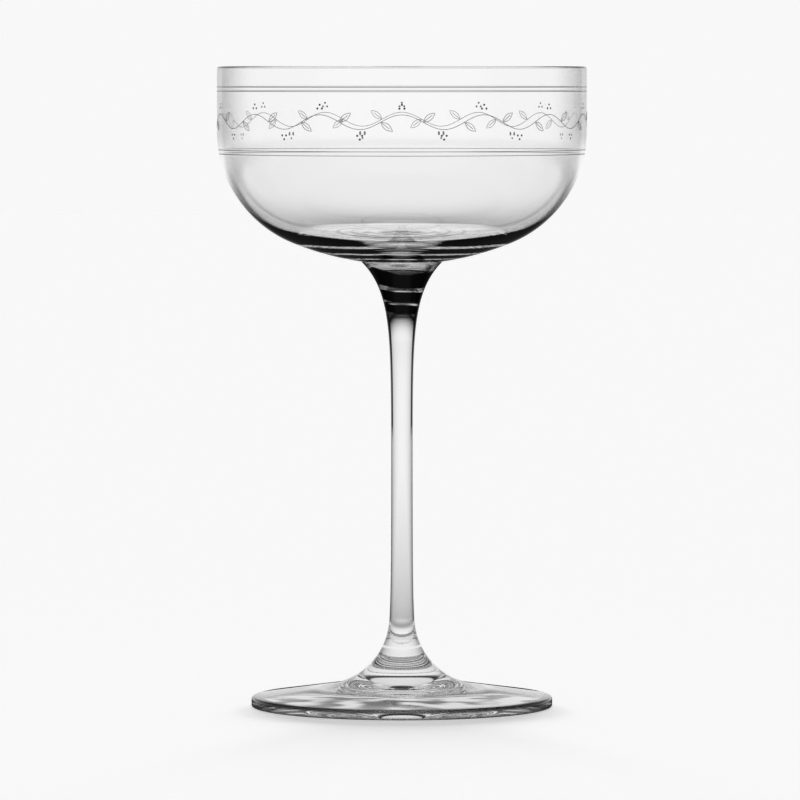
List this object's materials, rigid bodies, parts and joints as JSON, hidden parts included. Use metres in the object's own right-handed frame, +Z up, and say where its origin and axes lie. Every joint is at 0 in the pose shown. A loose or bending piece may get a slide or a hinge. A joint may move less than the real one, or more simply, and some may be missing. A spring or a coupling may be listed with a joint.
{
  "type": "champagne coupe",
  "caption": "Clear stemmed coupe with a wide shallow bowl, a slim drawn stem and a round foot, for serving sparkling wine.",
  "frame": {"origin": "on the axis of the glass, in the plane of the ring on which it stands", "axes": "+Z up along the axis of the glass, from the foot to the rim; the glass is a body of revolution, so +X and +Y are free"},
  "size_m": [0.098, 0.098, 0.17],
  "materials": {
    "clear_glass": "polished",
    "etched_glass": "frosted"
  },
  "bodies": {
    "root": {"bowl": "clear_glass", "stem": "clear_glass", "foot": "clear_glass"}
  },
  "joints": []
}
